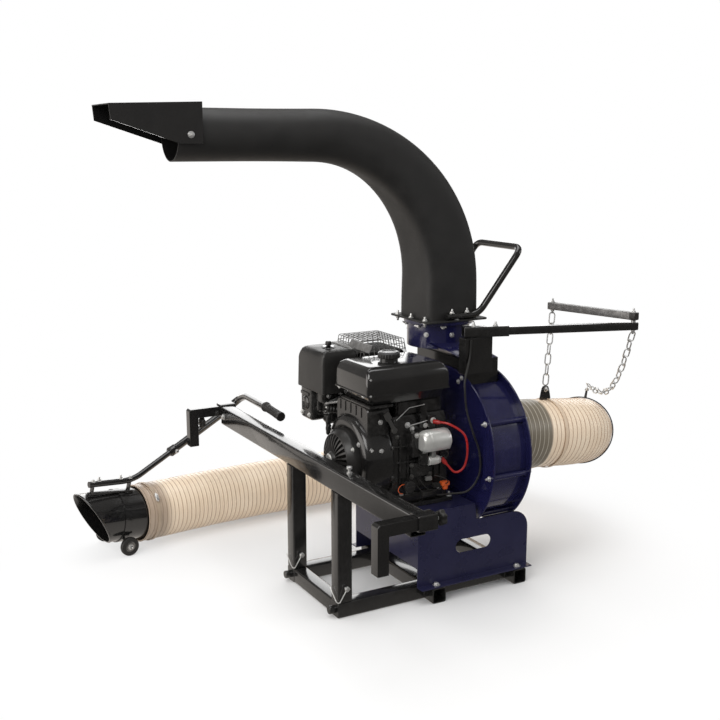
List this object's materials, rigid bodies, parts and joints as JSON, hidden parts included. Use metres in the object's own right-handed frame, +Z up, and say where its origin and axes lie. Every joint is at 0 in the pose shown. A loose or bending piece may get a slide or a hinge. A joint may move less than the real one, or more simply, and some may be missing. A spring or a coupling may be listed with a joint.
{
  "type": "leaf vacuum",
  "caption": "Tailgate-hung leaf vacuum: petrol engine and round blower on a tube frame, curved turning discharge chute with hood, and a fat ribbed hose looping to a wheeled nozzle.",
  "frame": {"origin": "middle of the underside of the foot tube under the engine, on the ground", "axes": "+Z up; +X along the crankshaft from the pull starter and tailgate rail to the hose inlet; +Y along the rail towards the side where the nozzle lies"},
  "size_m": [1.9395, 1.5684, 1.5625],
  "materials": {
    "painted_black": "satin gloss",
    "painted_navy": "gloss",
    "engine_black": "semi-gloss",
    "muffler_black": "matt, heat resistant",
    "zinc_steel": "zinc plated",
    "blade_steel": "bare",
    "dark_casting": "cast, dark",
    "bright_casting": "satin",
    "black_plastic": "fine matt",
    "hose_tan": "ribbed, slightly clear",
    "red_wire": "smooth",
    "black_rubber": "matt"
  },
  "bodies": {
    "base": {"air_cleaner": "black_plastic", "axle_bracket": "painted_black", "base_frame": "painted_black", "battery_cable": "red_wire", "boom_lower": "painted_black", "cable_loom": "black_rubber", "carburettor": "dark_casting", "cylinder_head": "dark_casting", "engine_block": "engine_black", "engine_stand": "painted_navy", "fan_shroud": "engine_black", "far_post": "painted_black", "fuel_tank": "engine_black", "hanger_bracket": "painted_black", "hose": "hose_tan", "hose_collar": "painted_black", "hose_hoop": "painted_black", "housing_back_plate": "painted_navy", "housing_front_plate": "painted_navy", "inlet_clamp": "zinc_steel", "inlet_collar": "painted_navy", "muffler": "muffler_black", "muffler_guard": "zinc_steel", "near_post": "painted_black", "nozzle": "painted_black", "nozzle_clamp": "zinc_steel", "outlet_throat": "muffler_black", "outlet_transition": "painted_navy", "recoil_cover": "engine_black", "scroll_band": "painted_navy", "starter_motor": "bright_casting", "tailgate_rail": "painted_black", "turntable_collar": "painted_navy"},
    "chute": {"chute": "black_plastic", "chute_handle": "painted_black"},
    "boom_upper": {"boom_upper": "painted_black", "handle_grip": "black_rubber"},
    "impeller": {"impeller": "blade_steel"},
    "deflector_hood": {"deflector_hood": "painted_black"},
    "hanger_sleeve": {"hanger_sleeve": "painted_black"},
    "hanger_arm": {"hanger_arm": "painted_black"},
    "hanger_link": {"hanger_link": "zinc_steel"},
    "inner_chain": {"inner_chain": "zinc_steel"},
    "outer_chain": {"outer_chain": "zinc_steel"},
    "near_hook": {"near_hook": "painted_black"},
    "far_hook": {"far_hook": "painted_black"},
    "near_clamp_knob": {"near_clamp_knob": "black_plastic"},
    "far_clamp_knob": {"far_clamp_knob": "black_plastic"},
    "near_lock_pin": {"near_lock_pin": "zinc_steel"},
    "far_lock_pin": {"far_lock_pin": "zinc_steel"},
    "near_wheel": {"near_wheel": "black_plastic"},
    "far_wheel": {"far_wheel": "black_plastic"},
    "fuel_cap": {"fuel_cap": "black_plastic"},
    "air_cleaner_knob": {"air_cleaner_knob": "black_plastic"},
    "throttle_lever": {"throttle_lever": "zinc_steel"},
    "recoil_handle": {"recoil_handle": "black_plastic"},
    "hoop_knob": {"hoop_knob": "black_plastic"},
    "oil_filler": {"oil_filler": "black_plastic"}
  },
  "joints": [
    {"name": "impeller_turn", "type": "hinge", "parent": "base", "child": "impeller", "pos_m": [0.2, 0, 0.458], "axis": [1, 0, 0], "continuous": true},
    {"name": "chute_turn", "type": "hinge", "parent": "base", "child": "chute", "pos_m": [0.191, 0.085, 0.871], "axis": [0, 0, 1], "range_deg": [-120, 120]},
    {"name": "deflector_hood_turn", "type": "hinge", "parent": "chute", "child": "deflector_hood", "pos_m": [-0.704, 0.085, 1.471], "axis": [0, -1, 0], "range_deg": [-5, 45]},
    {"name": "hanger_sleeve_turn", "type": "hinge", "parent": "base", "child": "hanger_sleeve", "pos_m": [0.1896, -0.1151, 0.8505], "axis": [0, 0, 1], "range_deg": [-25, 35]},
    {"name": "hanger_arm_slide", "type": "slide", "parent": "hanger_sleeve", "child": "hanger_arm", "axis": [0.9534, -0.3018, 0], "range_m": [-0.045, 0.06]},
    {"name": "hanger_link_turn", "type": "hinge", "parent": "hanger_arm", "child": "hanger_link", "pos_m": [0.72565, -0.28477, 0.885], "axis": [0, 0, 1], "range_deg": [-60, 35]},
    {"name": "inner_chain_turn", "type": "hinge", "parent": "hanger_link", "child": "inner_chain", "pos_m": [0.64, 0.03, 0.86], "axis": [-1, 0, 0], "range_deg": [0, 25]},
    {"name": "outer_chain_turn", "type": "hinge", "parent": "hanger_arm", "child": "outer_chain", "pos_m": [0.72565, -0.28477, 0.829], "axis": [0.96, -0.28, 0], "range_deg": [0, 25]},
    {"name": "near_hook_slide", "type": "slide", "parent": "base", "child": "near_hook", "axis": [1, 0, 0], "range_m": [-0.012, 0.055]},
    {"name": "far_hook_slide", "type": "slide", "parent": "base", "child": "far_hook", "axis": [1, 0, 0], "range_m": [-0.004, 0.05]},
    {"name": "near_clamp_knob_turn", "type": "hinge", "parent": "near_hook", "child": "near_clamp_knob", "pos_m": [-0.25, -0.62, 0.4565], "axis": [1, 0, 0], "range_deg": [-170, 170]},
    {"name": "far_clamp_knob_turn", "type": "hinge", "parent": "far_hook", "child": "far_clamp_knob", "pos_m": [-0.41, 0.7825, 0.416], "axis": [1, 0, 0], "range_deg": [-170, 170]},
    {"name": "near_lock_pin_slide", "type": "slide", "parent": "base", "child": "near_lock_pin", "axis": [0, -1, 0], "range_m": [0, 0.09]},
    {"name": "far_lock_pin_slide", "type": "slide", "parent": "base", "child": "far_lock_pin", "axis": [0, -1, 0], "range_m": [0, 0.09]},
    {"name": "near_wheel_turn", "type": "hinge", "parent": "base", "child": "near_wheel", "pos_m": [-0.7672, 0.73356, 0.0342], "axis": [0.206, -0.9785, 0], "continuous": true},
    {"name": "far_wheel_turn", "type": "hinge", "parent": "base", "child": "far_wheel", "pos_m": [-0.7672, 0.73356, 0.0342], "axis": [0.206, -0.9785, 0], "continuous": true},
    {"name": "boom_upper_slide", "type": "slide", "parent": "base", "child": "boom_upper", "axis": [0.8669, 0.3922, 0.3076], "range_m": [-0.02, 0.035]},
    {"name": "fuel_cap_turn", "type": "hinge", "parent": "base", "child": "fuel_cap", "pos_m": [-0.084, -0.05, 0.79], "axis": [0, 0, 1], "range_deg": [0, 120]},
    {"name": "air_cleaner_knob_turn", "type": "hinge", "parent": "base", "child": "air_cleaner_knob", "pos_m": [-0.178, 0.186, 0.79], "axis": [0, 0, 1], "range_deg": [-170, 170]},
    {"name": "throttle_lever_turn", "type": "hinge", "parent": "base", "child": "throttle_lever", "pos_m": [-0.112, -0.1325, 0.5635], "axis": [0, 1, 0], "range_deg": [-20, 25]},
    {"name": "recoil_handle_slide", "type": "slide", "parent": "base", "child": "recoil_handle", "axis": [-1, 0, 0], "range_m": [0, 0.3], "stiffness_N_per_m": 40, "springref_m": -0.2},
    {"name": "hoop_knob_turn", "type": "hinge", "parent": "base", "child": "hoop_knob", "pos_m": [0.87733, 0.09819, 0.54202], "axis": [0.2683, 0.0918, 0.9589], "range_deg": [-80, 80]},
    {"name": "oil_filler_turn", "type": "hinge", "parent": "base", "child": "oil_filler", "pos_m": [-0.062, -0.14, 0.375], "axis": [0, 1, 0], "range_deg": [-170, 170]}
  ]
}
